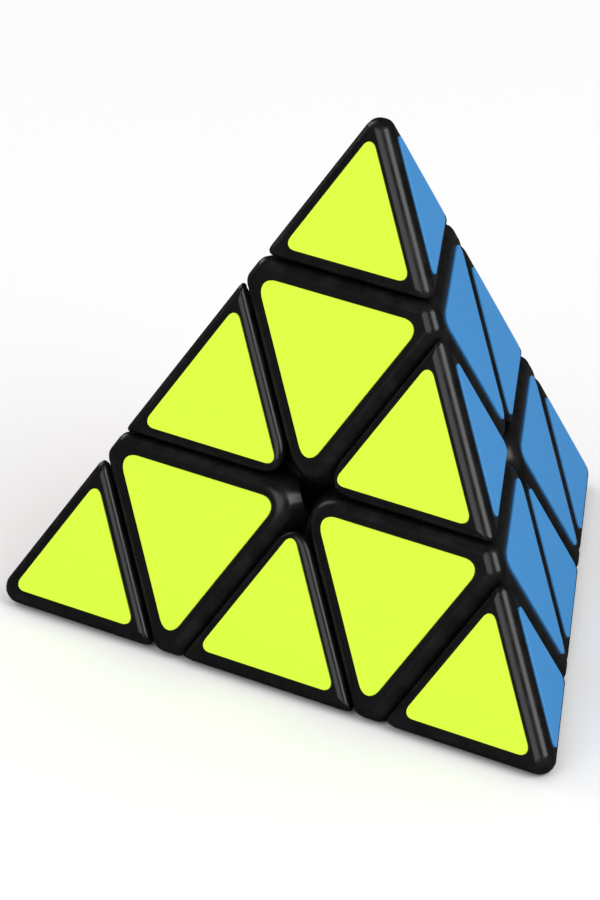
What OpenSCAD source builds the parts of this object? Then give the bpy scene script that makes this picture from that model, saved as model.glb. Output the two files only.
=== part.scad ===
// Pyramid twisty puzzle: four tips, four axial pieces and six edge pieces held on a four-armed core.
// Origin at the core's centre, where the four turning axes cross, +Z through the top tip.
// A piece is cut from the sharp pyramid by planes square to the four axes that run to its corners.

/* [Overall] */
// Edge length of the sharp pyramid before its corners and edges are blunted, mm
edge_len = 104; // [86:1:126]
// How far each corner is cut back from the sharp pyramid, mm
corner_blunt = 5.2; // [3.5:0.1:6]
// Width of the flat strip along each pyramid edge, mm
edge_strip = 2.7; // [1:0.1:3]

/* [Cuts] */
// How far outside a face the three layer cuts that run to its centre would meet, mm
cut_overshoot = 1.4; // [0.8:0.1:2.4]
// Height of the axial piece's own stretch of a pyramid edge, between an edge piece and a tip, mm
shoulder = 1.6; // [1:0.1:2.4]
// Running gap between two neighbouring pieces, mm
piece_gap = 0.3; // [0.2:0.05:0.5]
// Rounding of an axial piece's three ridges, which opens the hole at each face's centre, mm
axial_ridge_r = 5; // [4:0.1:6]
// Rounding of an edge piece's ridge, which faces the same hole, mm
edge_ridge_r = 4.1; // [3:0.1:5]
// Chamfer on the edges of each piece, mm
piece_chamfer = 0.45; // [0.2:0.05:0.8]

/* [Shells] */
// Wall thickness of the hollow pieces, mm
wall = 2; // [1.4:0.1:2.4]
// Thickness of a sticker, mm
sticker_t = 0.25; // [0.1:0.05:0.4]

/* [Stickers] */
// Black rim between a layer cut and an edge or axial sticker, mm
layer_rim = 2.3; // [1.5:0.1:3]
// Black rim between a tip cut and the sticker on each side of it, mm
tip_rim = 2.5; // [1.5:0.1:3]
// Black rim between the sharp pyramid edge and a sticker, mm
outer_rim = 3.6; // [2.8:0.1:4.5]
// Corner radius of the upright stickers, mm
sticker_r = 1.2; // [0.8:0.1:2]
// Radius of the axial stickers' two corners by the tip, mm
axial_outer_r = 2; // [1.5:0.1:4]
// Radius of the axial stickers' corner by the face centre, mm
axial_inner_r = 2; // [1.5:0.1:3]

/* [Mechanism] */
// Depth from a face to the sphere that the edge feet turn in, mm
foot_cover = 3.7; // [3.4:0.1:4.4]
// Distance of a layer's cut from the centre inside that sphere, mm
inner_cut = 2.5; // [2:0.1:3]
// Radius of a core arm, mm
arm_r = 3; // [2.6:0.1:3.2]
// Length of a core arm beyond the core ball, mm
arm_out = 3.4; // [3:0.1:4]
// Wall of a stalk around its screw pocket, mm
stalk_wall = 1.8; // [1.5:0.1:2]
// Radial clearance of an arm or a clip in its bore, mm
running_fit = 0.08; // [0.04:0.01:0.1]

/* [Screws and springs] */
// Radius of the screw shank, mm
screw_r = 1.2; // [1:0.05:1.3]
// Radius of the screw head, mm
head_r = 2.6; // [2.3:0.1:2.8]
// Height of the screw head, mm
head_h = 1.9; // [1.5:0.1:2.2]
// Length of a spring as fitted, mm
spring_len = 5.6; // [5:0.1:6]
// Radius of the spring wire, mm
wire_r = 0.35; // [0.25:0.05:0.4]
// Number of turns in a spring
coil_turns = 4; // [3:1:5]

/* [Tip clips] */
// Radius of the peg that joins a tip to its axial piece, mm
peg_r = 3.2; // [2.8:0.1:3.4]
// How far the snap head stands out beyond the peg, mm
snap_lip = 0.9; // [0.6:0.1:1.2]
// Height of the snap head, mm
snap_h = 2; // [1.5:0.1:2.4]

/* [Hidden] */

// Axis numbers. A face has the number of the axis that points away from it.
TOP = 0;
LEFT = 1;
FRONT = 2;
BACK = 3;
ALL = [TOP, LEFT, FRONT, BACK];

BLACK = [0.035, 0.036, 0.04];
STEEL = [0.62, 0.63, 0.65];
GREEN = [0.03, 0.52, 0.16];
BLUE = [0.07, 0.27, 0.6];
RED = [0.75, 0.03, 0.04];
LIME = [0.73, 0.95, 0.06];

// Proportions of a regular pyramid of four equal faces
corner_d = edge_len * sqrt(6) / 4;
face_d = edge_len * sqrt(6) / 12;
side_d = edge_len / sqrt(8);
axis_lean = 2 * sqrt(2) / 3;
half_dihedral = asin(1 / sqrt(3));

// An axis that leans below the horizon towards one side
function lower_axis(azimuth) = [axis_lean * cos(azimuth), axis_lean * sin(azimuth), -1 / 3];
AXES = [[0, 0, 1], lower_axis(180), lower_axis(-60), lower_axis(60)];

half_gap = piece_gap / 2;
skin_d = face_d - sticker_t;
layer_cut = (face_d + cut_overshoot) / 3;
tip_cut = 2 * face_d - layer_cut + shoulder;
corner_cut = corner_d - corner_blunt;
strip_depth = edge_strip / 2 / tan(half_dihedral);
nose_angle = 52;
nose_drop = 1.1;

washer_t = 0.5;
washer_r = head_r + 0.35;
pocket_r = washer_r + piece_gap;
stalk_r = pocket_r + stalk_wall;

// The ball is just large enough for a stalk to stay below its neighbours' inner cuts
stalk_start = 3 * (axis_lean * (stalk_r + 0.05) - inner_cut + half_gap);
foot_in_r = norm([stalk_r, stalk_start]);
ball_r = foot_in_r - piece_gap;
foot_out_r = face_d - foot_cover - half_gap;
shell_in_r = foot_out_r + piece_gap;
cavity_r = shell_in_r + wall;

arm_end = ball_r + arm_out;
web_low = arm_end + piece_gap;
web_t = 1.4;
web_high = web_low + web_t;
washer_low = web_high + spring_len;
head_low = washer_low + washer_t;
head_high = head_low + head_h;
flange_r = stalk_r + 2.6;
flange_t = 1.8;
stalk_high = max(head_high + 1.2, cavity_r + flange_t);
thread_bite = 0.08;
thread_low = ball_r / 3;
spring_rest = 0.06;
coil_r = head_r - wire_r;
slot_w = 0.7;

plate_t = 2.4;
snap_high = tip_cut - half_gap - wall - piece_gap;
snap_low = snap_high - snap_h;
split_w = 0.8;
split_high = tip_cut - half_gap;
peg_hole_r = peg_r + running_fit;
plate_fit = 0.05;

big = 4 * edge_len;
fine = 96;
corner_steps = 8;
ridge_steps = 5;

// In-plane distance on a face to distance along an axis
function along(margin) = margin * axis_lean;

// The two directions across a direction, as +X and +Y lie after +Z is turned to it
function across(n) =
    let (lean = acos(n.z), swing = atan2(n.y, n.x))
    [[cos(lean) * cos(swing), cos(lean) * sin(swing), -sin(lean)], [-sin(swing), cos(swing), 0]];

// Where axis b lies round axis a, degrees
function bearing(a, b) =
    let (sides = across(AXES[a]))
    atan2(AXES[b] * sides[1], AXES[b] * sides[0]);

// ---- planes: [outward normal, distance from the core's centre] ----

function face_plane(f, inset) = [-AXES[f], skin_d - inset];
function above_cut(a, cut, inset) = [-AXES[a], -(cut + half_gap + inset)];
function below_cut(a, cut, inset) = [AXES[a], cut - half_gap - inset];
function others(taken) = [for (a = ALL) if (len(search(a, taken)) == 0) a];
LOWER = others([TOP]);
SIDES = others([TOP, LEFT]);

// The plane that cuts a depth off the ridge between two planes
function ridge(p, q, depth) =
    let (n = p[0] + q[0], size = norm(n))
    [n / size, (p[1] + q[1]) / size - depth];

// Planes that round the ridge between two planes equally far from the centre
function round_ridge(p, q, r, inset) =
    let (
        n = p[0] + q[0],
        size = norm(n),
        half = acos(size / 2),
        side = (q[0] - p[0]) / norm(q[0] - p[0]),
        reach = 2 * (p[1] - r) / size
    )
    [
        for (i = [1 : ridge_steps])
            let (turn = half * (2 * i / (ridge_steps + 1) - 1))
            [n / size * cos(turn) + side * sin(turn), reach * cos(turn) + r - inset]
    ];

// The top tip, any axial piece and the edge piece between top and left
function tip_planes() = concat(
    [for (f = LOWER) face_plane(f, 0)],
    [above_cut(TOP, tip_cut, 0)],
    [[AXES[TOP], corner_cut]]
);

function axial_planes(a, inset) = concat(
    [for (f = others([a])) face_plane(f, inset)],
    [below_cut(a, tip_cut, inset)],
    [above_cut(a, layer_cut, inset)],
    [for (b = others([a])) below_cut(b, layer_cut, inset)],
    [for (f = others([a])) each axial_ridge(others([a, f]), inset)]
);

function axial_ridge(sides, inset) =
    round_ridge(below_cut(sides[0], layer_cut, 0), below_cut(sides[1], layer_cut, 0), axial_ridge_r, inset);

function edge_planes(inset) = concat(
    [for (f = SIDES) face_plane(f, inset)],
    [for (c = [TOP, LEFT]) above_cut(c, layer_cut, inset)],
    round_ridge(above_cut(TOP, layer_cut, 0), above_cut(LEFT, layer_cut, 0), edge_ridge_r, inset)
);

// The strip along the pyramid edge between two faces
function strip_plane(f, g) =
    let (n = -AXES[f] - AXES[g])
    [n / norm(n), side_d - strip_depth];

function strips(faces) = [
    for (i = [0 : len(faces) - 2])
        for (j = [i + 1 : len(faces) - 1])
            strip_plane(faces[i], faces[j])
];

// Every face of a piece meets its cuts at a small chamfer
function trim(f, cut_plane) = ridge(face_plane(f, 0), cut_plane, piece_chamfer);

function tip_trim() = [for (f = LOWER) trim(f, above_cut(TOP, tip_cut, 0))];

function axial_trim(a) = concat(
    [for (f = others([a])) trim(f, below_cut(a, tip_cut, 0))],
    [for (f = others([a])) trim(f, above_cut(a, layer_cut, 0))],
    [
        for (f = others([a]))
            for (b = others([a, f]))
                trim(f, below_cut(b, layer_cut, 0))
    ]
);

function edge_trim() = [
    for (f = SIDES)
        for (c = [TOP, LEFT])
            trim(f, above_cut(c, layer_cut, 0))
];

// ---- placing ----

// Turns +Z to a direction
module toward(n) {
    rotate([0, acos(n.z), atan2(n.y, n.x)])
        children();
}

module on_axis(a) {
    toward(AXES[a])
        children();
}

// Moves a piece made between the top and left axes to between two others
module on_edge(a, b) {
    on_axis(a)
        rotate([0, 0, bearing(a, b) - bearing(TOP, LEFT)])
            children();
}

// ---- building blocks ----

module half_space(p) {
    toward(p[0])
        translate([-big / 2, -big / 2, p[1] - big])
            cube(big);
}

module block(planes) {
    intersection_for (p = planes)
        half_space(p);
}

module rod(r, low, high) {
    translate([0, 0, low])
        cylinder(r = r, h = high - low, $fn = fine);
}

module hollow_ball(inner, outer) {
    difference() {
        sphere(r = outer, $fn = fine);
        sphere(r = inner, $fn = fine);
    }
}

// ---- pieces ----

module core_body() {
    difference() {
        union() {
            sphere(r = ball_r, $fn = fine);
            for (a = ALL)
                on_axis(a)
                    rod(arm_r, ball_r * 0.55, arm_end);
        }
        for (a = ALL)
            on_axis(a)
                rod(screw_r - thread_bite, thread_low, arm_end + 1);
    }
}

module screw() {
    difference() {
        union() {
            rod(screw_r, thread_low + 1, head_low + 0.1);
            rod(head_r, head_low, head_high);
        }
        for (turn = [0, 90])
            rotate([0, 0, turn])
                translate([-head_r * 0.7, -slot_w / 2, head_high - head_h / 2])
                    cube([head_r * 1.4, slot_w, head_h]);
    }
}

module washer() {
    difference() {
        rod(washer_r, washer_low, head_low);
        rod(screw_r + 0.15, washer_low - 1, head_low + 1);
    }
}

// Outline of a round wire cut level, at one angle of its share of a turn
function wire_point(turn, span, side) =
    let (r = coil_r + side * wire_r * sqrt(max(0, 1 - pow(turn / span, 2))))
    [r * cos(turn), r * sin(turn)];

module spring() {
    low = web_high + spring_rest;
    height = washer_low - spring_rest - low;
    pitch = (height - 2 * wire_r) / coil_turns;
    span = 360 * wire_r / pitch;
    steps = 3;
    outline = concat(
        [for (i = [-steps : steps]) wire_point(i * span / steps, span, 1)],
        [for (i = [-steps + 1 : steps - 1]) wire_point(-i * span / steps, span, -1)]
    );
    translate([0, 0, low])
        linear_extrude(height = height, twist = -360 * coil_turns, slices = 10 * coil_turns)
            polygon(outline);
}

module axial_shell(a) {
    difference() {
        block(concat(axial_planes(a, 0), strips(others([a])), axial_trim(a)));
        sphere(r = shell_in_r, $fn = fine);
        difference() {
            block(axial_planes(a, wall));
            sphere(r = cavity_r, $fn = fine);
        }
        on_axis(a)
            rod(stalk_r + plate_fit, 0, cavity_r + 1);
        on_axis(a)
            rod(peg_hole_r, cavity_r, tip_cut);
    }
}

module axial_stalk() {
    difference() {
        union() {
            rod(stalk_r, 1, stalk_high);
            difference() {
                rod(flange_r, cavity_r - 3, cavity_r + flange_t);
                sphere(r = cavity_r, $fn = fine);
            }
        }
        sphere(r = foot_in_r, $fn = fine);
        rod(arm_r + running_fit, 0, web_low);
        rod(screw_r + piece_gap, 0, stalk_high);
        rod(pocket_r, web_high, stalk_high + 1);
    }
}

module edge_shell() {
    difference() {
        block(concat(edge_planes(0), strips(SIDES), edge_trim()));
        sphere(r = foot_out_r, $fn = fine);
        difference() {
            block(edge_planes(wall));
            sphere(r = cavity_r, $fn = fine);
        }
    }
}

// The foot turns inside the sphere, under the overhang of the two axial pieces beside it
module edge_foot() {
    intersection() {
        hollow_ball(foot_in_r, foot_out_r);
        block(concat(
            [for (c = [TOP, LEFT]) above_cut(c, inner_cut, 0)],
            [for (c = SIDES) below_cut(c, inner_cut, 0)]
        ));
    }
}

module tip_shell() {
    difference() {
        intersection() {
            block(concat(tip_planes(), strips(LOWER), tip_trim()));
            tip_nose();
        }
        block(concat(
            [for (f = LOWER) face_plane(f, wall)],
            [[AXES[TOP], corner_cut - 2 * wall]]
        ));
    }
}

// The round cone that takes the corners off a blunted tip
module tip_nose() {
    reach = corner_cut - layer_cut;
    translate([0, 0, layer_cut])
        cylinder(
            r1 = nose_drop + reach * tan(nose_angle),
            r2 = nose_drop,
            h = reach,
            $fn = fine
        );
}

module tip_clip() {
    union() {
        block(concat(
            [for (f = LOWER) face_plane(f, wall + plate_fit)],
            [above_cut(TOP, tip_cut, 0)],
            [[AXES[TOP], tip_cut + half_gap + plate_t]]
        ));
        difference() {
            union() {
                rod(peg_r, snap_low, tip_cut + 1);
                rod(peg_r + snap_lip, snap_low, snap_high);
            }
            rod(peg_r / 2, snap_low - 1, split_high);
            for (turn = [0, 90])
                rotate([0, 0, turn])
                    translate([-edge_len / 2, -split_w / 2, snap_low - 1])
                        cube([edge_len, split_w, split_high - snap_low]);
        }
    }
}

// ---- stickers ----

// Point on face f from its distances along the three axes of the face's corners
function face_point(f, corners, heights) =
    0.75 * (-face_d * AXES[f]
        + heights[0] * AXES[corners[0]]
        + heights[1] * AXES[corners[1]]
        + heights[2] * AXES[corners[2]]);

// The same point in the face's own plane
function flat(f, p) =
    let (sides = across(-AXES[f]))
    [p * sides[0], p * sides[1]];

// Corners of the triangle between three lines, each at a height along its axis
function triangle(f, corners, limits) = [
    for (i = [0 : 2])
        let (
            rest = face_d - limits[(i + 1) % 3] - limits[(i + 2) % 3],
            heights = [for (j = [0 : 2]) j == i ? rest : limits[j]]
        )
        flat(f, face_point(f, corners, heights))
];

function turn_between(from, to) =
    let (d = to - from)
    d > 180 ? d - 360 : (d < -180 ? d + 360 : d);

function angle_of(v) = atan2(v.y, v.x);

// A triangle's corner replaced by an arc
function round_corner(before, at, after, r) =
    let (
        u = (before - at) / norm(before - at),
        v = (after - at) / norm(after - at),
        half = acos(u * v) / 2,
        centre = at + (u + v) / norm(u + v) * r / sin(half),
        start = angle_of(at + u * r / tan(half) - centre),
        sweep = turn_between(start, angle_of(at + v * r / tan(half) - centre))
    )
    [
        for (i = [0 : corner_steps])
            centre + r * [cos(start + sweep * i / corner_steps), sin(start + sweep * i / corner_steps)]
    ];

function rounded(p, radii) = [
    for (i = [0 : 2])
        for (q = round_corner(p[(i + 2) % 3], p[i], p[(i + 1) % 3], radii[i]))
            q
];

module plate(f, outline) {
    toward(-AXES[f])
        translate([0, 0, skin_d])
            linear_extrude(height = sticker_t)
                polygon(outline);
}

outer_limit = along(outer_rim) - face_d;

module tip_sticker(a, f) {
    corners = concat([a], others([a, f]));
    limits = [tip_cut + along(tip_rim), outer_limit, outer_limit];
    plate(f, rounded(triangle(f, corners, limits), [sticker_r, sticker_r, sticker_r]));
}

module axial_sticker(a, f) {
    corners = concat([a], others([a, f]));
    inner = layer_cut - along(layer_rim);
    limits = [tip_cut - along(tip_rim), inner, inner];
    plate(f, rounded(triangle(f, corners, limits), [axial_inner_r, axial_outer_r, axial_outer_r]));
}

module edge_sticker(a, b, f) {
    corners = concat([a, b], others([a, b, f]));
    inner = layer_cut + along(layer_rim);
    limits = [inner, inner, outer_limit];
    plate(f, rounded(triangle(f, corners, limits), [sticker_r, sticker_r, sticker_r]));
}

// Stickers of one face on the layer that turns with the top
module layer_stickers(f) {
    axial_sticker(TOP, f);
    for (a = others([TOP, f]))
        edge_sticker(TOP, a, f);
}

// Stickers of one face on the pieces below the top layer
module base_stickers(f) {
    for (a = others([TOP, f]))
        axial_sticker(a, f);
    lower = others([TOP, f]);
    for (i = [0 : len(lower) - 2])
        for (j = [i + 1 : len(lower) - 1])
            edge_sticker(lower[i], lower[j], f);
}

// ---- nodes ----

module core() color(BLACK) core_body();
module core_screws() color(STEEL) for (a = ALL) on_axis(a) screw();
module core_springs() color(STEEL) for (a = ALL) on_axis(a) spring();
module core_washers() color(STEEL) for (a = ALL) on_axis(a) washer();

module axial_top() color(BLACK) axial_shell(TOP);
module axial_left() color(BLACK) axial_shell(LEFT);
module axial_front() color(BLACK) axial_shell(FRONT);
module axial_back() color(BLACK) axial_shell(BACK);

module stalk_top() color(BLACK) on_axis(TOP) axial_stalk();
module stalk_left() color(BLACK) on_axis(LEFT) axial_stalk();
module stalk_front() color(BLACK) on_axis(FRONT) axial_stalk();
module stalk_back() color(BLACK) on_axis(BACK) axial_stalk();

module edge_top_left() color(BLACK) on_edge(TOP, LEFT) edge_shell();
module edge_top_front() color(BLACK) on_edge(TOP, FRONT) edge_shell();
module edge_top_back() color(BLACK) on_edge(TOP, BACK) edge_shell();
module edge_left_front() color(BLACK) on_edge(LEFT, FRONT) edge_shell();
module edge_left_back() color(BLACK) on_edge(LEFT, BACK) edge_shell();
module edge_front_back() color(BLACK) on_edge(FRONT, BACK) edge_shell();

module foot_top_left() color(BLACK) on_edge(TOP, LEFT) edge_foot();
module foot_top_front() color(BLACK) on_edge(TOP, FRONT) edge_foot();
module foot_top_back() color(BLACK) on_edge(TOP, BACK) edge_foot();
module foot_left_front() color(BLACK) on_edge(LEFT, FRONT) edge_foot();
module foot_left_back() color(BLACK) on_edge(LEFT, BACK) edge_foot();
module foot_front_back() color(BLACK) on_edge(FRONT, BACK) edge_foot();

module tip_top() color(BLACK) on_axis(TOP) tip_shell();
module tip_left() color(BLACK) on_axis(LEFT) tip_shell();
module tip_front() color(BLACK) on_axis(FRONT) tip_shell();
module tip_back() color(BLACK) on_axis(BACK) tip_shell();

module clip_top() color(BLACK) on_axis(TOP) tip_clip();
module clip_left() color(BLACK) on_axis(LEFT) tip_clip();
module clip_front() color(BLACK) on_axis(FRONT) tip_clip();
module clip_back() color(BLACK) on_axis(BACK) tip_clip();

module sticker_tip_top_blue() color(BLUE) tip_sticker(TOP, LEFT);
module sticker_tip_top_red() color(RED) tip_sticker(TOP, FRONT);
module sticker_tip_top_lime() color(LIME) tip_sticker(TOP, BACK);
module sticker_tip_left_green() color(GREEN) tip_sticker(LEFT, TOP);
module sticker_tip_left_red() color(RED) tip_sticker(LEFT, FRONT);
module sticker_tip_left_lime() color(LIME) tip_sticker(LEFT, BACK);
module sticker_tip_front_green() color(GREEN) tip_sticker(FRONT, TOP);
module sticker_tip_front_blue() color(BLUE) tip_sticker(FRONT, LEFT);
module sticker_tip_front_lime() color(LIME) tip_sticker(FRONT, BACK);
module sticker_tip_back_green() color(GREEN) tip_sticker(BACK, TOP);
module sticker_tip_back_blue() color(BLUE) tip_sticker(BACK, LEFT);
module sticker_tip_back_red() color(RED) tip_sticker(BACK, FRONT);

module sticker_layer_blue() color(BLUE) layer_stickers(LEFT);
module sticker_layer_red() color(RED) layer_stickers(FRONT);
module sticker_layer_lime() color(LIME) layer_stickers(BACK);
module sticker_base_blue() color(BLUE) base_stickers(LEFT);
module sticker_base_red() color(RED) base_stickers(FRONT);
module sticker_base_lime() color(LIME) base_stickers(BACK);
module sticker_base_green() color(GREEN) base_stickers(TOP);

core();
core_screws();
core_springs();
core_washers();
axial_top();
axial_left();
axial_front();
axial_back();
stalk_top();
stalk_left();
stalk_front();
stalk_back();
edge_top_left();
edge_top_front();
edge_top_back();
edge_left_front();
edge_left_back();
edge_front_back();
foot_top_left();
foot_top_front();
foot_top_back();
foot_left_front();
foot_left_back();
foot_front_back();
tip_top();
tip_left();
tip_front();
tip_back();
clip_top();
clip_left();
clip_front();
clip_back();
sticker_tip_top_blue();
sticker_tip_top_red();
sticker_tip_top_lime();
sticker_tip_left_green();
sticker_tip_left_red();
sticker_tip_left_lime();
sticker_tip_front_green();
sticker_tip_front_blue();
sticker_tip_front_lime();
sticker_tip_back_green();
sticker_tip_back_blue();
sticker_tip_back_red();
sticker_layer_blue();
sticker_layer_red();
sticker_layer_lime();
sticker_base_green();
sticker_base_blue();
sticker_base_red();
sticker_base_lime();
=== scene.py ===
"""Dresses the pyramid twisty puzzle: moulded shells, vinyl stickers, mechanism and studio."""

import logging
import math
from collections.abc import Callable, Iterable
from dataclasses import dataclass, field
from enum import Enum
from itertools import combinations

import bpy
from mathutils import Matrix, Vector

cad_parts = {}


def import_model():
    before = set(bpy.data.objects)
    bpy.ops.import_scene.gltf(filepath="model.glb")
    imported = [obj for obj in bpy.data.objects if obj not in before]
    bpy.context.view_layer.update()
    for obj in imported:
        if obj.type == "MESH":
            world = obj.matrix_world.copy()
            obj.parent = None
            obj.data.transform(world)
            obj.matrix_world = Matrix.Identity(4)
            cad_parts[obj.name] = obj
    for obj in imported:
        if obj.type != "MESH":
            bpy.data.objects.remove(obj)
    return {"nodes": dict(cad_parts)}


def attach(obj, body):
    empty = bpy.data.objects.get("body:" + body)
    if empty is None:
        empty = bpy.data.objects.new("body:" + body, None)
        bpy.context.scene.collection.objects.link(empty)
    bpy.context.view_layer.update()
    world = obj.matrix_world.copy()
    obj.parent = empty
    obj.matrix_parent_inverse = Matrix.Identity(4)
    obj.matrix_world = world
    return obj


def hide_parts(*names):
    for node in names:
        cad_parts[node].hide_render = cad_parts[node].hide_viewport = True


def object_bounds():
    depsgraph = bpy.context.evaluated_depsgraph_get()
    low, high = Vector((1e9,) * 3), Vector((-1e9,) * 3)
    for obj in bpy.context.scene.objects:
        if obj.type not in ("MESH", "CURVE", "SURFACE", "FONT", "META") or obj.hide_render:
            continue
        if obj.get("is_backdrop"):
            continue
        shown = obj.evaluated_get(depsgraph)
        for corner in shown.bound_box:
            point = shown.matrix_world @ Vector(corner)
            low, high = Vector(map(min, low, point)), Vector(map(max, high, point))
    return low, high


LOG = logging.getLogger("pyramid_puzzle")
MM = 0.001
WEAR_ATTRIBUTE = "wear"

# Modelling steps: tool segments, lengths in metres and angles in degrees
BALL_SEGMENTS = 96
ROD_SEGMENTS = 64
MERGE_GAP = 0.002 * MM
OVERCUT = 1 * MM
ON_PLANE = 0.02 * MM
CORNER_REACH = 0.1 * MM
ROUND_PROFILE = 0.5
SHELL_SMOOTH_ANGLE = 32.0
STICKER_SMOOTH_ANGLE = 40.0
FLAT_WEIGHT = 100

# How far out towards the strip an edge piece's block is centred
EDGE_BLOCK_SHARE = 0.75

# The four axes, each times a point's height along it, add up to 4/3 of the point
HEIGHTS_TO_PLACE = 0.75

# Surface effects: ranges of noise that show as patches or scratches, and their strengths
FULL_WEAR_TURN = 25.0
WEAR_PATCHES = (0.42, 0.72)
SCRATCH_LINES = (0.66, 0.74)
SCRATCH_STRETCH = (1.0, 9.0, 3.0)
SCRATCH_TURN = (0.4, 0.9, 0.3)
SCRATCH_SHARE = 0.12
WORN_ROUGHNESS = 0.25
GRAIN_DEPTH = 0.1 * MM


class Axis(Enum):
    """The four turning axes, each running from the core to a corner of the pyramid."""

    TOP = "top"
    LEFT = "left"
    FRONT = "front"
    BACK = "back"


class Hue(Enum):
    """Sticker colours. The value is the colour's word in the node names."""

    GREEN = "green"
    BLUE = "blue"
    RED = "red"
    LIME = "lime"


LOWER = (Axis.LEFT, Axis.FRONT, Axis.BACK)
SIDES = (Axis.FRONT, Axis.BACK)

# Where the lower corners lie round the top axis, and the colour of the face opposite each corner
BEARINGS = {Axis.LEFT: math.radians(180), Axis.FRONT: math.radians(-60), Axis.BACK: math.radians(60)}
FACE_HUES = {Axis.TOP: Hue.GREEN, Axis.LEFT: Hue.BLUE, Axis.FRONT: Hue.RED, Axis.BACK: Hue.LIME}
BASE_BODY = "core_and_base"
LAYER_BODY = "top_layer"


def others(*taken: Axis) -> list[Axis]:
    """The axes that aren't among those taken, in order."""
    return [axis for axis in Axis if axis not in taken]


def axis_vector(axis: Axis) -> Vector:
    """The unit vector from the core's centre to a corner.

    Args:
        axis: The turning axis.

    Returns:
        The unit vector along it.
    """
    if axis is Axis.TOP:
        return Vector((0.0, 0.0, 1.0))
    lean = math.sqrt(8) / 3
    bearing = BEARINGS[axis]
    return Vector((lean * math.cos(bearing), lean * math.sin(bearing), -1 / 3))


@dataclass(frozen=True)
class PuzzleSizes:
    """The puzzle's driving sizes in metres, the same as the CAD model's, and what follows from them."""

    edge_len: float = 104 * MM
    corner_blunt: float = 5.2 * MM
    edge_strip: float = 2.7 * MM
    cut_overshoot: float = 1.4 * MM
    shoulder: float = 1.6 * MM
    piece_gap: float = 0.3 * MM
    axial_ridge_r: float = 5 * MM
    edge_ridge_r: float = 4.1 * MM
    wall: float = 2 * MM
    sticker_t: float = 0.25 * MM
    foot_cover: float = 3.7 * MM
    peg_hole_r: float = 4.4 * MM
    stalk_hole_r: float = 5.12 * MM
    layer_rim: float = 2.3 * MM
    tip_rim: float = 2.5 * MM
    outer_rim: float = 3.6 * MM

    @property
    def half_gap(self) -> float:
        """Half the running gap between two pieces."""
        return self.piece_gap / 2

    @property
    def face_d(self) -> float:
        """Distance from the core's centre to a face."""
        return self.edge_len * math.sqrt(6) / 12

    @property
    def skin_d(self) -> float:
        """Distance from the core's centre to the plastic under the stickers."""
        return self.face_d - self.sticker_t

    @property
    def corner_cut(self) -> float:
        """Distance from the core's centre to a blunted corner."""
        return 3 * self.face_d - self.corner_blunt

    @property
    def strip_d(self) -> float:
        """Distance from the core's centre to the narrow strip along a pyramid edge."""
        return self.edge_len / math.sqrt(8) - self.edge_strip / math.sqrt(2)

    @property
    def layer_cut(self) -> float:
        """Distance from the core's centre to a layer cut."""
        return (self.face_d + self.cut_overshoot) / 3

    @property
    def tip_cut(self) -> float:
        """Distance from the core's centre to a tip cut."""
        return 2 * self.face_d - self.layer_cut + self.shoulder

    @property
    def foot_out_r(self) -> float:
        """Outer radius of the edge feet."""
        return self.face_d - self.foot_cover - self.half_gap

    @property
    def shell_in_r(self) -> float:
        """Radius of the hollow in which the feet turn."""
        return self.foot_out_r + self.piece_gap

    @property
    def cavity_r(self) -> float:
        """Radius at which the shells' own cavities begin."""
        return self.shell_in_r + self.wall

    def along(self, margin: float) -> float:
        """Turns a margin measured on a face into a distance along an axis."""
        return margin * math.sqrt(8) / 3


@dataclass(frozen=True)
class Cut:
    """A plane that keeps what lies on its inner side.

    Args:
        normal: Unit vector that points away from what is kept.
        distance: Distance of the plane from the core's centre along the normal.
    """

    normal: Vector
    distance: float

    def holds(self, point: Vector) -> bool:
        """Whether a point lies on the plane."""
        return abs(self.normal.dot(point) - self.distance) < ON_PLANE


@dataclass(frozen=True)
class CutPlanes:
    """Makes the planes that bound the pieces."""

    sizes: PuzzleSizes

    def face(self, axis: Axis, inset: float = 0.0) -> Cut:
        """The face that an axis points away from."""
        return Cut(-axis_vector(axis), self.sizes.skin_d - inset)

    def above(self, axis: Axis, cut: float, inset: float = 0.0) -> Cut:
        """Keeps what lies further out than a cut."""
        return Cut(-axis_vector(axis), -(cut + self.sizes.half_gap + inset))

    def below(self, axis: Axis, cut: float, inset: float = 0.0) -> Cut:
        """Keeps what lies nearer in than a cut."""
        return Cut(axis_vector(axis), cut - self.sizes.half_gap - inset)

    def strip(self, first: Axis, second: Axis) -> Cut:
        """The narrow strip along the pyramid edge between the faces that two axes point away from."""
        normal = -(axis_vector(first) + axis_vector(second)).normalized()
        return Cut(normal, self.sizes.strip_d)


def on_axis(axis: Axis) -> Matrix:
    """The turn that takes a piece modelled on the top axis to another axis.

    Args:
        axis: The axis to take it to.

    Returns:
        The turn.
    """
    target = axis_vector(axis)
    lean = math.acos(max(-1.0, min(1.0, target.z)))
    swing = BEARINGS.get(axis, 0.0)
    return Matrix.Rotation(swing, 4, "Z") @ Matrix.Rotation(lean, 4, "Y")


def on_edge(first: Axis, second: Axis) -> Matrix:
    """The turn that takes a piece modelled between the top and left axes to between two others.

    Args:
        first: One of the two axes.
        second: The other one.

    Returns:
        The turn.
    """
    local = on_axis(first).inverted() @ axis_vector(second)
    spin = math.atan2(local.y, local.x) - BEARINGS[Axis.LEFT]
    return on_axis(first) @ Matrix.Rotation(spin, 4, "Z")


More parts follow.
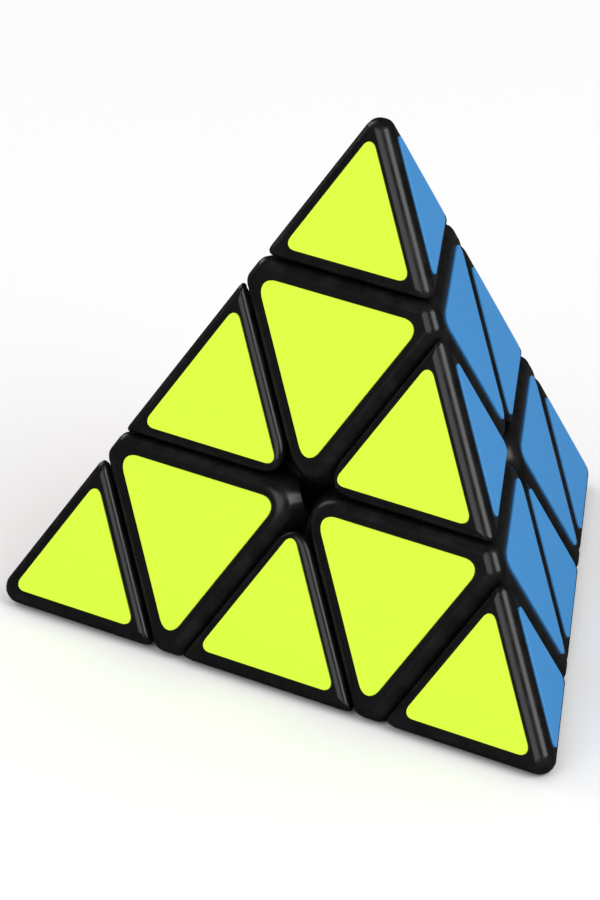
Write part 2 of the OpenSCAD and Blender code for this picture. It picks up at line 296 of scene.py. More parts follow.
class Bench:
    """Modelling steps shared by all pieces, each done with Blender's own operators."""

    @staticmethod
    def clear_selection() -> None:
        """Leaves object mode's selection empty."""
        if bpy.context.mode != "OBJECT":
            bpy.ops.object.mode_set(mode="OBJECT")
        bpy.ops.object.select_all(action="DESELECT")

    @staticmethod
    def take(piece: bpy.types.Object) -> None:
        """Makes a piece the only selected and active one.

        Args:
            piece: The piece.
        """
        Bench.clear_selection()
        piece.select_set(True)
        bpy.context.view_layer.objects.active = piece

    @staticmethod
    def settle(piece: bpy.types.Object) -> None:
        """Moves a piece's place from its object into its mesh."""
        Bench.take(piece)
        bpy.ops.object.transform_apply(location=True, rotation=True, scale=True)

    @staticmethod
    def cube(name: str, centre: Vector, size: float) -> bpy.types.Object:
        """Adds a cube as a start for a bisected block.

        Args:
            name: Name of the block.
            centre: Its centre.
            size: Its side.

        Returns:
            The cube.
        """
        Bench.clear_selection()
        bpy.ops.mesh.primitive_cube_add(size=size, location=centre)
        piece = bpy.context.active_object
        piece.name = name
        Bench.settle(piece)
        return piece

    @staticmethod
    def ball(name: str, radius: float) -> bpy.types.Object:
        """Adds a sphere round the core's centre, as a tool for hollowing.

        Args:
            name: Name of the tool.
            radius: Its radius.

        Returns:
            The sphere.
        """
        Bench.clear_selection()
        bpy.ops.mesh.primitive_uv_sphere_add(
            segments=BALL_SEGMENTS, ring_count=BALL_SEGMENTS // 2, radius=radius, location=(0, 0, 0)
        )
        piece = bpy.context.active_object
        piece.name = name
        return piece

    @staticmethod
    def rod(name: str, radius: float, low: float, high: float) -> bpy.types.Object:
        """Adds an upright cylinder, as a tool for bores.

        Args:
            name: Name of the tool.
            radius: Its radius.
            low: Height of its bottom.
            high: Height of its top.

        Returns:
            The cylinder.
        """
        Bench.clear_selection()
        bpy.ops.mesh.primitive_cylinder_add(
            vertices=ROD_SEGMENTS, radius=radius, depth=high - low, location=(0, 0, (low + high) / 2)
        )
        piece = bpy.context.active_object
        piece.name = name
        Bench.settle(piece)
        return piece

    @staticmethod
    def bisect(piece: bpy.types.Object, cuts: Iterable[Cut]) -> None:
        """Cuts a block back to a set of planes, each one closed with a face.

        Args:
            piece: The block.
            cuts: The planes, each of which keeps its inner side.
        """
        Bench.take(piece)
        bpy.ops.object.mode_set(mode="EDIT")
        for cut in cuts:
            bpy.ops.mesh.select_all(action="SELECT")
            bpy.ops.mesh.bisect(
                plane_co=cut.normal * cut.distance,
                plane_no=cut.normal,
                use_fill=True,
                clear_inner=False,
                clear_outer=True,
            )
        bpy.ops.mesh.select_all(action="SELECT")
        bpy.ops.mesh.remove_doubles(threshold=MERGE_GAP)
        bpy.ops.mesh.normals_make_consistent(inside=False)
        bpy.ops.object.mode_set(mode="OBJECT")

    @staticmethod
    def select_edges(piece: bpy.types.Object, chosen: Callable[[Vector, Vector], bool]) -> None:
        """Selects the edges whose two ends satisfy a test.

        Args:
            piece: The piece.
            chosen: The test, given the places of an edge's two ends.
        """
        Bench.take(piece)
        bpy.ops.object.mode_set(mode="EDIT")
        bpy.ops.mesh.select_mode(type="EDGE")
        bpy.ops.mesh.select_all(action="DESELECT")
        bpy.ops.object.mode_set(mode="OBJECT")
        mesh = piece.data
        for edge in mesh.edges:
            first, second = (mesh.vertices[i].co for i in edge.vertices)
            edge.select = chosen(first, second)

    @staticmethod
    def bevel_selected(offset: float, segments: int) -> None:
        """Rounds the edges that select_edges has selected, on the piece that it took.

        Args:
            offset: How far back from each edge the rounding starts.
            segments: Number of steps across it.
        """
        bpy.ops.object.mode_set(mode="EDIT")
        bpy.ops.mesh.bevel(offset=offset, segments=segments, profile=ROUND_PROFILE, affect="EDGES")
        bpy.ops.object.mode_set(mode="OBJECT")

    @staticmethod
    def apply(piece: bpy.types.Object, modifier: bpy.types.Modifier) -> None:
        """Applies a modifier."""
        Bench.take(piece)
        bpy.ops.object.modifier_apply(modifier=modifier.name)

    @staticmethod
    def subtract(piece: bpy.types.Object, tool: bpy.types.Object) -> None:
        """Takes a tool's volume out of a piece, and the tool out of the scene.

        Args:
            piece: The piece.
            tool: The volume to take out.
        """
        modifier = piece.modifiers.new("hollow", "BOOLEAN")
        modifier.operation = "DIFFERENCE"
        modifier.solver = "EXACT"
        modifier.object = tool
        Bench.apply(piece, modifier)
        bpy.data.objects.remove(tool)

    @staticmethod
    def smooth(piece: bpy.types.Object, angle: float = SHELL_SMOOTH_ANGLE) -> None:
        """Smooths the fillets and leaves the flats flat.

        Args:
            piece: The piece.
            angle: Edges that turn by more than this many degrees stay sharp.
        """
        Bench.take(piece)
        bpy.ops.object.shade_smooth_by_angle(angle=math.radians(angle))
        modifier = piece.modifiers.new("flat_faces", "WEIGHTED_NORMAL")
        modifier.keep_sharp = True
        modifier.weight = FLAT_WEIGHT
        Bench.apply(piece, modifier)

    @staticmethod
    def copy(pattern: bpy.types.Object, name: str, place: Matrix) -> bpy.types.Object:
        """Copies a modelled piece, with a mesh of its own, to another place.

        Args:
            pattern: The piece to copy.
            name: Name of the copy.
            place: Where it goes.

        Returns:
            The copy.
        """
        piece = bpy.data.objects.new(name, pattern.data.copy())
        piece.data.name = name
        piece.data.transform(place)
        bpy.context.scene.collection.objects.link(piece)
        return piece


@dataclass(frozen=True)
class Fillets:
    """How far each kind of edge is rounded back, in metres."""

    strip: float = 1.02 * MM
    acute: float = 1.8 * MM
    blunt: float = 1.4 * MM
    knob: float = 1.0 * MM
    nose: float = 1.2 * MM
    segments: int = 8
    ridge_segments: int = 14


@dataclass
class MouldedShells:
    """Models the three kinds of hollow plastic piece and sets the copies in place."""

    sizes: PuzzleSizes
    fillets: Fillets = field(default_factory=Fillets)
    planes: CutPlanes = field(init=False)
    pieces: dict[str, bpy.types.Object] = field(default_factory=dict)

    def __post_init__(self) -> None:
        """Sets up the planes that follow from the sizes."""
        self.planes = CutPlanes(self.sizes)

    def strips(self, faces: Iterable[Axis]) -> list[Cut]:
        """The narrow strips between each two of several faces."""
        return [self.planes.strip(a, b) for a, b in combinations(faces, 2)]

    def fillet(
        self,
        piece: bpy.types.Object,
        outside: list[Cut],
        rounding: Callable[[list[Cut]], float],
    ) -> None:
        """Rounds each edge that meets the outside, by an offset that depends on its planes.

        Args:
            piece: The block to round.
            outside: Every plane that bounds the block.
            rounding: Gives an edge's offset from the planes that it lies on.
        """
        widest = max(self.fillets.nose, self.fillets.acute, self.fillets.knob)
        mesh = piece.data
        weights = mesh.attributes.new("bevel_weight_edge", "FLOAT", "EDGE")
        for edge in mesh.edges:
            ends = [mesh.vertices[i].co for i in edge.vertices]
            on = [cut for cut in outside if all(cut.holds(end) for end in ends)]
            weights.data[edge.index].value = rounding(on) / widest
        modifier = piece.modifiers.new("fillets", "BEVEL")
        modifier.width = widest
        modifier.segments = self.fillets.segments
        modifier.limit_method = "WEIGHT"
        modifier.profile = ROUND_PROFILE
        modifier.use_clamp_overlap = False
        Bench.apply(piece, modifier)

    def offset(self, on: list[Cut], strips: list[Cut], faces: list[Cut], cut_edge: float) -> float:
        """How far back an edge of an axial or edge piece is rounded.

        Args:
            on: The planes that the edge lies on.
            strips: The piece's strips.
            faces: The piece's faces.
            cut_edge: Offset of an edge between a face and a cut.

        Returns:
            The offset, 0 for an edge that stays sharp.
        """
        on_strip = any(cut in on for cut in strips)
        on_face = any(cut in on for cut in faces)
        if on_strip:
            return self.fillets.strip if on_face else self.fillets.knob
        return cut_edge if on_face else 0.0

    def mark_wear(self, piece: bpy.types.Object, flats: list[Cut]) -> None:
        """Stores how far each point's surface turns away from the flats, for wear on the edges.

        Args:
            piece: The rounded block.
            flats: Every plane that bounds it.
        """
        mesh = piece.data
        values = []
        for vertex in mesh.vertices:
            normal = vertex.normal
            nearest = max(cut.normal.dot(normal) for cut in flats)
            turned = math.degrees(math.acos(max(-1.0, min(1.0, nearest))))
            handled = vertex.co.length > self.sizes.cavity_r
            values.append(min(1.0, turned / FULL_WEAR_TURN) if handled else 0.0)
        layer = mesh.attributes.new(WEAR_ATTRIBUTE, "FLOAT", "POINT")
        layer.data.foreach_set("value", values)

    def round_ridges(self, piece: bpy.types.Object, sides: list[Cut], radius: float) -> None:
        """Rounds the ridges between the cuts that meet at the face centres.

        Args:
            piece: The block, before anything else is cut from it.
            sides: The cuts whose ridges are rounded.
            radius: Radius of the rounding, square to the ridge.
        """

        def on_ridge(first: Vector, second: Vector) -> bool:
            """Whether an edge lies on two of the cuts."""
            return sum(cut.holds(first) and cut.holds(second) for cut in sides) == 2

        Bench.select_edges(piece, on_ridge)
        Bench.bevel_selected(radius * math.sqrt(2), self.fillets.ridge_segments)

    def hollow_ball(self, piece: bpy.types.Object, radius: float) -> None:
        """Takes the turning space of the feet out of a piece."""
        Bench.subtract(piece, Bench.ball("turning_space", radius))

    def cavity(self, cuts: list[Cut], centre: Vector) -> bpy.types.Object:
        """Models the hollow inside a shell.

        Args:
            cuts: The planes that bound the hollow.
            centre: Where its block starts from.

        Returns:
            The hollow, as a tool to subtract.
        """
        block = Bench.cube("cavity", centre, self.sizes.edge_len)
        Bench.bisect(block, cuts)
        Bench.subtract(block, Bench.ball("cavity_floor", self.sizes.cavity_r))
        return block

    def tip(self) -> bpy.types.Object:
        """Models the top tip.

        Returns:
            The tip, in its own place.
        """
        sizes, planes, fillets = self.sizes, self.planes, self.fillets
        faces = [planes.face(f) for f in LOWER]
        floor = planes.above(Axis.TOP, sizes.tip_cut)
        strips = self.strips(LOWER)
        nose = Cut(axis_vector(Axis.TOP), sizes.corner_cut)
        cuts = [*faces, floor, *strips, nose]
        centre = Vector((0, 0, sizes.tip_cut + sizes.face_d / 2))
        piece = Bench.cube("tip_pattern", centre, sizes.edge_len / 2)
        Bench.bisect(piece, cuts)

        def rounding(on: list[Cut]) -> float:
            """How far back an edge is rounded.

            Args:
                on: The planes that the edge lies on.

            Returns:
                The offset.
            """
            if nose in on:
                return fillets.nose
            if floor in on:
                return fillets.acute
            return fillets.strip

        self.fillet(piece, cuts, rounding)
        self.mark_wear(piece, cuts)
        inner = [planes.face(f, sizes.wall) for f in LOWER]
        inner.append(Cut(axis_vector(Axis.TOP), sizes.corner_cut - 2 * sizes.wall))
        hollow = Bench.cube("tip_hollow", centre, sizes.edge_len)
        Bench.bisect(hollow, inner)
        Bench.subtract(piece, hollow)
        Bench.smooth(piece)
        return piece

    def axial(self) -> bpy.types.Object:
        """Models the top axial piece.

        Returns:
            The axial piece, in its own place.
        """
        sizes, planes, fillets = self.sizes, self.planes, self.fillets
        top = Axis.TOP
        faces = [planes.face(f) for f in LOWER]
        roof = planes.below(top, sizes.tip_cut)
        floor = planes.above(top, sizes.layer_cut)
        sides = [planes.below(b, sizes.layer_cut) for b in LOWER]
        strips = self.strips(LOWER)
        centre = Vector((0, 0, (sizes.tip_cut + sizes.layer_cut) / 2))
        piece = Bench.cube("axial_pattern", centre, sizes.edge_len)
        Bench.bisect(piece, [*faces, *sides])

        self.round_ridges(piece, sides, sizes.axial_ridge_r)
        Bench.bisect(piece, [roof, floor, *strips])
        cuts = [*faces, roof, floor, *sides, *strips]
        self.fillet(piece, cuts, lambda on: self.offset(on, strips, faces, fillets.blunt))
        self.mark_wear(piece, cuts)
        inner = [planes.face(f, sizes.wall) for f in LOWER]
        inner.append(planes.below(top, sizes.tip_cut, sizes.wall))
        inner.append(planes.above(top, sizes.layer_cut, sizes.wall))
        inner += [planes.below(b, sizes.layer_cut, sizes.wall) for b in LOWER]
        Bench.subtract(piece, self.cavity(inner, centre))
        self.hollow_ball(piece, sizes.shell_in_r)
        stalk_hole = Bench.rod("stalk_hole", sizes.stalk_hole_r, 0.0, sizes.cavity_r + OVERCUT)
        Bench.subtract(piece, stalk_hole)
        peg_hole = Bench.rod("peg_hole", sizes.peg_hole_r, sizes.cavity_r, sizes.tip_cut + OVERCUT)
        Bench.subtract(piece, peg_hole)
        Bench.smooth(piece)
        return piece

    def edge(self) -> bpy.types.Object:
        """Models the edge piece between the top and left corners.

        Returns:
            The edge piece, in its own place.
        """
        sizes, planes, fillets = self.sizes, self.planes, self.fillets
        faces = [planes.face(f) for f in SIDES]
        floors = [planes.above(c, sizes.layer_cut) for c in (Axis.TOP, Axis.LEFT)]
        strips = self.strips(SIDES)
        outward = (axis_vector(Axis.TOP) + axis_vector(Axis.LEFT)).normalized()
        centre = outward * sizes.strip_d * EDGE_BLOCK_SHARE
        piece = Bench.cube("edge_pattern", centre, sizes.edge_len)
        Bench.bisect(piece, [*faces, *floors])

        self.round_ridges(piece, floors, sizes.edge_ridge_r)
        Bench.bisect(piece, strips)
        cuts = [*faces, *floors, *strips]
        self.fillet(piece, cuts, lambda on: self.offset(on, strips, faces, fillets.acute))
        self.mark_wear(piece, cuts)
        inner = [planes.face(f, sizes.wall) for f in SIDES]
        inner += [planes.above(c, sizes.layer_cut, sizes.wall) for c in (Axis.TOP, Axis.LEFT)]
        Bench.subtract(piece, self.cavity(inner, centre))
        self.hollow_ball(piece, sizes.foot_out_r)
        Bench.smooth(piece)
        return piece

    def build(self) -> None:
        """Models each kind once and copies it to every place."""
        tip, axial, edge = self.tip(), self.axial(), self.edge()
        for axis in Axis:
            place = on_axis(axis)
            body = LAYER_BODY if axis is Axis.TOP else BASE_BODY
            self.set_piece(tip, f"tip_{axis.value}", f"{axis.value}_tip", place)
            self.set_piece(axial, f"axial_{axis.value}", body, place)
        for first, second in combinations(Axis, 2):
            body = LAYER_BODY if first is Axis.TOP else BASE_BODY
            name = f"edge_{first.value}_{second.value}"
            self.set_piece(edge, name, body, on_edge(first, second))
        for pattern in (tip, axial, edge):
            bpy.data.objects.remove(pattern)

    def set_piece(self, pattern: bpy.types.Object, node: str, body: str, place: Matrix) -> None:
        """Copies a pattern into the place of a CAD node.

        Args:
            pattern: The modelled piece.
            node: The CAD node that the copy stands for.
            body: The body that it rides on.
            place: The turn from the pattern to the node.
        """
        piece = Bench.copy(pattern, f"{node}_shell", place)
        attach(piece, body)
        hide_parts(node)
        self.pieces[node] = piece

    def dress(self, material: bpy.types.Material) -> None:
        """Gives every shell its plastic.

        Args:
            material: The plastic.
        """
        for node, piece in self.pieces.items():
            piece.data.materials.clear()
            piece.data.materials.append(material)
            LOG.info("shell %s: %d faces", node, len(piece.data.polygons))


@dataclass(frozen=True)
class StickerKind:
    """One kind of triangular sticker.

    Args:
        pointing_in: Whether its first corner points at the face's centre.
        radii: Corner radii in metres, the first corner's first.
    """

    pointing_in: bool
    radii: tuple[float, float, float]


UPRIGHT = StickerKind(False, (1.2 * MM, 1.2 * MM, 1.2 * MM))
INVERTED = StickerKind(True, (2.0 * MM, 2.0 * MM, 2.0 * MM))


@dataclass
class Stickers:
    """Cuts the vinyl stickers and lays them on the faces."""

    sizes: PuzzleSizes
    rim: float = 0.06 * MM
    rim_segments: int = 3
    corner_segments: int = 10
    pieces: list[tuple[bpy.types.Object, Hue]] = field(default_factory=list)

    def cut_out(self, name: str, kind: StickerKind, radius: float) -> bpy.types.Object:
        """Models one sticker flat on the ground, its first corner towards +Y.

        Args:
            name: Name of the sticker's pattern.
            kind: Which way it points and how its corners are rounded.
            radius: Distance from its centre to its sharp corners.

        Returns:
            The modelled sticker.
        """
        Bench.clear_selection()
        bpy.ops.mesh.primitive_circle_add(
            vertices=3, radius=radius, fill_type="NGON", location=(0, 0, 0)
        )
        piece = bpy.context.active_object
        piece.name = name
        bpy.ops.object.mode_set(mode="EDIT")
        bpy.ops.mesh.select_all(action="SELECT")
        bpy.ops.mesh.extrude_region_move(
            TRANSFORM_OT_translate={"value": (0, 0, self.sizes.sticker_t)}
        )
        bpy.ops.mesh.select_all(action="SELECT")
        bpy.ops.mesh.normals_make_consistent(inside=False)
        bpy.ops.object.mode_set(mode="OBJECT")
        for turn, corner_r in enumerate(kind.radii):
            angle = math.radians(90 + 120 * turn)
            corner = Vector((math.cos(angle), math.sin(angle), 0)) * radius

            def upright_at(first: Vector, second: Vector, at: Vector = corner) -> bool:
                """Whether an edge stands upright at the corner."""
                near = max((first.xy - at.xy).length, (second.xy - at.xy).length) < CORNER_REACH
                return near and abs(first.z - second.z) > self.sizes.sticker_t / 2

            Bench.select_edges(piece, upright_at)
            Bench.bevel_selected(corner_r * math.sqrt(3), self.corner_segments)
        top = self.sizes.sticker_t
        Bench.select_edges(piece, lambda a, b: min(a.z, b.z) > top - self.rim / 2)
        Bench.bevel_selected(self.rim, self.rim_segments)
        Bench.smooth(piece, STICKER_SMOOTH_ANGLE)
        return piece

    def lay(
        self, pattern: bpy.types.Object, name: str, face: Axis, toward: Axis, centre: Vector, inward: bool
    ) -> bpy.types.Object:
        """Copies a sticker to its place on a face.

        Args:
            pattern: The sticker, flat on the ground.
            name: Name of the copy.
            face: Axis that points away from the face.
            toward: Axis of the corner that the first corner points at, or away from if inward.
            centre: Its centre on the face.
            inward: Whether the first corner points at the face's centre.

        Returns:
            The copy.
        """
        out = -axis_vector(face)
        up = axis_vector(toward)
        up = (up - out * up.dot(out)).normalized() * (-1 if inward else 1)
        side = up.cross(out).normalized()
        turn = Matrix((side, up, out)).transposed().to_4x4()
        seat = Matrix.Translation(centre - out * self.sizes.sticker_t)
        return Bench.copy(pattern, name, seat @ turn)

    def centre_of(self, face: Axis, heights: dict[Axis, float]) -> Vector:
        """The point of a face at given heights along the axes of its corners.

        Args:
            face: Axis that points away from the face.
            heights: Height along the axis of each corner of the face.

        Returns:
            The point.
        """
        point = -axis_vector(face) * self.sizes.face_d
        for axis, height in heights.items():
            point += axis_vector(axis) * height
        return point * HEIGHTS_TO_PLACE

    def place(
        self, name: str, kind: StickerKind, face: Axis, limits: dict[Axis, float], body: str, node: str
    ) -> None:
        """Cuts one sticker between three lines of a face and lays it there.

        Args:
            name: Name of the sticker.
            kind: Its kind.
            face: Axis that points away from the face.
            limits: Height along each axis of the face at which one of its sides lies.
            body: The body that it rides on.
            node: The CAD node that it helps to replace.
        """
        spare = (self.sizes.face_d - sum(limits.values())) / 3
        heights = {axis: limit + spare for axis, limit in limits.items()}
        radius = 2 * abs(spare) / self.sizes.along(1.0)
        toward = next(iter(limits))
        pattern = self.cut_out(f"{name}_pattern", kind, radius)
        centre = self.centre_of(face, heights)
        piece = self.lay(pattern, name, face, toward, centre, kind.pointing_in)
        bpy.data.objects.remove(pattern)
        hue = FACE_HUES[face]
        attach(piece, body)
        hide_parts(node)
        self.pieces.append((piece, hue))

    def build(self) -> None:
        """Lays the nine stickers of each face."""
        sizes = self.sizes
        outer = sizes.along(sizes.outer_rim) - sizes.face_d
        tip_line = sizes.tip_cut + sizes.along(sizes.tip_rim)
        roof_line = sizes.tip_cut - sizes.along(sizes.tip_rim)
        side_line = sizes.layer_cut - sizes.along(sizes.layer_rim)
        floor_line = sizes.layer_cut + sizes.along(sizes.layer_rim)
        for face in Axis:
            hue = FACE_HUES[face].value
            for axis in others(face):
                body = LAYER_BODY if axis is Axis.TOP else BASE_BODY
                node = f"sticker_{'layer' if axis is Axis.TOP else 'base'}_{hue}"
                name = f"{axis.value}_{hue}"
                rest = others(face, axis)
                limits = {axis: tip_line, rest[0]: outer, rest[1]: outer}
                self.place(
                    f"tip_sticker_{name}", UPRIGHT, face, limits, f"{axis.value}_tip",
                    f"sticker_tip_{name}",
                )
                limits = {axis: roof_line, rest[0]: side_line, rest[1]: side_line}
                self.place(f"axial_sticker_{name}", INVERTED, face, limits, body, node)
            for first, second in combinations(others(face), 2):
                upper = first is Axis.TOP
                far = others(face, first, second)[0]
                node = f"sticker_{'layer' if upper else 'base'}_{hue}"
                limits = {far: outer, first: floor_line, second: floor_line}
                self.place(
                    f"edge_sticker_{first.value}_{second.value}_{hue}", UPRIGHT, face, limits,
                    LAYER_BODY if upper else BASE_BODY, node,
                )

    def dress(self, vinyl: dict[Hue, bpy.types.Material]) -> None:
        """Gives every sticker its colour.

        Args:
            vinyl: The material of each colour.
        """
        for piece, hue in self.pieces:
            piece.data.materials.clear()
            piece.data.materials.append(vinyl[hue])
        LOG.info("stickers: %d", len(self.pieces))


class NodeKit:
    """Small helpers for writing shader nodes."""

    @staticmethod
    def group(name: str, inputs: dict[str, float], outputs: Iterable[str]) -> bpy.types.NodeTree:
        """Makes an empty node group with value sockets.

        Args:
            name: Name of the group.
            inputs: Input sockets and their usual values.
            outputs: Output sockets.

        Returns:
            The group's tree.
        """
        tree = bpy.data.node_groups.new(name, "ShaderNodeTree")
        for label, value in inputs.items():
            socket = tree.interface.new_socket(label, in_out="INPUT", socket_type="NodeSocketFloat")
            socket.default_value = value
        for label in outputs:
            tree.interface.new_socket(label, in_out="OUTPUT", socket_type="NodeSocketFloat")
        return tree

    @staticmethod
    def add(tree: bpy.types.NodeTree, kind: str, **settings: object) -> bpy.types.Node:
        """Adds a node and sets its properties.

        Args:
            tree: The node tree.
            kind: Type of the node.
            settings: Properties to set on it.

        Returns:
            The node.
        """
        node = tree.nodes.new(kind)
        for key, value in settings.items():
            setattr(node, key, value)
        return node

    @staticmethod
    def math(tree: bpy.types.NodeTree, operation: str, first: object, second: object) -> bpy.types.NodeSocket:
        """Adds a calculation on two sockets or numbers and returns its output.

        Args:
            tree: The node tree.
            operation: What to do with the two values.
            first: A socket or a number.
            second: Another socket or number.

        Returns:
            The output socket.
        """
        node = NodeKit.add(tree, "ShaderNodeMath", operation=operation)
        for socket, value in zip(node.inputs, (first, second)):
            if isinstance(value, bpy.types.NodeSocket):
                tree.links.new(value, socket)
            else:
                socket.default_value = value
        return node.outputs[0]

    @staticmethod
    def noise(
        tree: bpy.types.NodeTree, where: bpy.types.NodeSocket, scale: bpy.types.NodeSocket, detail: float
    ) -> bpy.types.NodeSocket:
        """Adds noise at a place and returns its value.

        Args:
            tree: The node tree.
            where: Socket with the place.
            scale: Socket with the scale.
            detail: Number of finer layers.

        Returns:
            The output socket.
        """
        node = NodeKit.add(tree, "ShaderNodeTexNoise")
        node.inputs["Detail"].default_value = detail
        tree.links.new(where, node.inputs["Vector"])
        tree.links.new(scale, node.inputs["Scale"])
        return node.outputs["Fac"]

    @staticmethod
    def ramp(
        tree: bpy.types.NodeTree, value: bpy.types.NodeSocket, low: float, high: float
    ) -> bpy.types.NodeSocket:
        """Adds a ramp from 0 to 1 and returns its output.

        Args:
            tree: The node tree.
            value: Socket with the value.
            low: Value that gives 0.
            high: Value that gives 1.

        Returns:
            The output socket.
        """
        node = NodeKit.add(tree, "ShaderNodeMapRange")
        node.inputs["From Min"].default_value = low
        node.inputs["From Max"].default_value = high
        tree.links.new(value, node.inputs["Value"])
        return node.outputs["Result"]


class SurfaceEffects:
    """Node groups for the effects that several finishes share."""

    def __init__(self) -> None:
        """Builds each group once."""
        self.grain = self.make_grain()
        self.wear = self.make_wear()
        self.handling = self.make_handling()

    @staticmethod
    def make_grain() -> bpy.types.NodeTree:
        """Fine moulded grain over a slow waviness.

        Returns:
            The node group.
        """
        sockets = {"Grain Scale": 3000.0, "Wave Scale": 90.0, "Wave Share": 0.5}
        tree = NodeKit.group("moulded_grain", sockets, ["Height"])
        source = NodeKit.add(tree, "NodeGroupInput").outputs
        sink = NodeKit.add(tree, "NodeGroupOutput").inputs
        where = NodeKit.add(tree, "ShaderNodeTexCoord").outputs["Object"]
        fine = NodeKit.noise(tree, where, source["Grain Scale"], detail=2.0)
        wave = NodeKit.noise(tree, where, source["Wave Scale"], detail=1.0)
        wave = NodeKit.math(tree, "MULTIPLY", wave, source["Wave Share"])
        tree.links.new(NodeKit.math(tree, "ADD", fine, wave), sink["Height"])
        return tree

    @staticmethod
    def make_wear() -> bpy.types.NodeTree:
        """Where handling has polished or scuffed the rounded edges.

        Returns:
            The node group.
        """
        tree = NodeKit.group("edge_wear", {"Patch Scale": 260.0, "Amount": 0.6}, ["Mask"])
        source = NodeKit.add(tree, "NodeGroupInput").outputs
        sink = NodeKit.add(tree, "NodeGroupOutput").inputs
        where = NodeKit.add(tree, "ShaderNodeTexCoord").outputs["Object"]
        edge = NodeKit.add(tree, "ShaderNodeAttribute", attribute_name=WEAR_ATTRIBUTE).outputs["Fac"]
        patches = NodeKit.noise(tree, where, source["Patch Scale"], detail=6.0)
        worn = NodeKit.math(tree, "MULTIPLY", edge, NodeKit.ramp(tree, patches, *WEAR_PATCHES))
        tree.links.new(NodeKit.math(tree, "MULTIPLY", worn, source["Amount"]), sink["Mask"])
        return tree

    @staticmethod
    def make_handling() -> bpy.types.NodeTree:
        """Faint smudges and hairline scratches from hands.

        Returns:
            The node group.
        """
        sockets = {"Smudge Scale": 55.0, "Scratch Scale": 420.0}
        tree = NodeKit.group("handling_marks", sockets, ["Smudge", "Scratch"])
        source = NodeKit.add(tree, "NodeGroupInput").outputs
        sink = NodeKit.add(tree, "NodeGroupOutput").inputs
        where = NodeKit.add(tree, "ShaderNodeTexCoord").outputs["Object"]
        smudge = NodeKit.noise(tree, where, source["Smudge Scale"], detail=5.0)
        tree.links.new(smudge, sink["Smudge"])
        stretch = NodeKit.add(tree, "ShaderNodeMapping")
        stretch.inputs["Scale"].default_value = SCRATCH_STRETCH
        stretch.inputs["Rotation"].default_value = SCRATCH_TURN
        tree.links.new(where, stretch.inputs["Vector"])
        lines = NodeKit.noise(tree, stretch.outputs["Vector"], source["Scratch Scale"], detail=3.0)
        tree.links.new(NodeKit.ramp(tree, lines, *SCRATCH_LINES), sink["Scratch"])
        return tree


@dataclass(frozen=True)
class Finish:
    """A surface finish, with the strength of each effect on it.

    Args:
        name: Name of the material.
        colour: Base colour, linear.
        worn_colour: Colour of the worn edges.
        roughness: Roughness of the clean surface.
        smudge: How much smudges add to the roughness.
        grain: Strength of the grain's bump.
        grain_scale: How fine the grain is.
        wave_share: Share of the slow waviness in the bump.
        wear: Strength of the edge wear.
        metallic: Whether the surface is bare metal, from 0 to 1.
        specular: Strength of the reflection of a non-metal.
    """

    name: str
    colour: tuple[float, float, float]
    worn_colour: tuple[float, float, float]
    roughness: float
    smudge: float = 0.08
    grain: float = 0.05
    grain_scale: float = 3000.0
    wave_share: float = 0.5
    wear: float = 0.5
    metallic: float = 0.0
    specular: float = 0.5

    def make(self, effects: SurfaceEffects) -> bpy.types.Material:
        """Writes the finish as a material.

        Args:
            effects: The shared node groups.

        Returns:
            The material.
        """
        material = bpy.data.materials.new(self.name)
        material.use_nodes = True
        tree = material.node_tree
        shader = tree.nodes["Principled BSDF"]
        shader.inputs["Metallic"].default_value = self.metallic
        shader.inputs["Specular IOR Level"].default_value = self.specular
        grain = NodeKit.add(tree, "ShaderNodeGroup", node_tree=effects.grain)
        grain.inputs["Grain Scale"].default_value = self.grain_scale
        grain.inputs["Wave Share"].default_value = self.wave_share
        bump = NodeKit.add(tree, "ShaderNodeBump")
        bump.inputs["Strength"].default_value = self.grain
        bump.inputs["Distance"].default_value = GRAIN_DEPTH
        tree.links.new(grain.outputs["Height"], bump.inputs["Height"])
        tree.links.new(bump.outputs["Normal"], shader.inputs["Normal"])
        wear = NodeKit.add(tree, "ShaderNodeGroup", node_tree=effects.wear)
        wear.inputs["Amount"].default_value = self.wear
        marks = NodeKit.add(tree, "ShaderNodeGroup", node_tree=effects.handling)
        mix = NodeKit.add(tree, "ShaderNodeMix", data_type="RGBA")
        mix.inputs["A"].default_value = (*self.colour, 1.0)
        mix.inputs["B"].default_value = (*self.worn_colour, 1.0)
        scratched = NodeKit.math(tree, "MULTIPLY", marks.outputs["Scratch"], SCRATCH_SHARE)
        share = NodeKit.math(tree, "MAXIMUM", wear.outputs["Mask"], scratched)
        tree.links.new(share, mix.inputs["Factor"])
        tree.links.new(mix.outputs["Result"], shader.inputs["Base Color"])
        smudge = NodeKit.math(tree, "MULTIPLY", marks.outputs["Smudge"], self.smudge)
        rough = NodeKit.math(tree, "ADD", smudge, self.roughness)
        worn = NodeKit.math(tree, "MULTIPLY", wear.outputs["Mask"], WORN_ROUGHNESS)
        tree.links.new(NodeKit.math(tree, "ADD", rough, worn), shader.inputs["Roughness"])
        return material


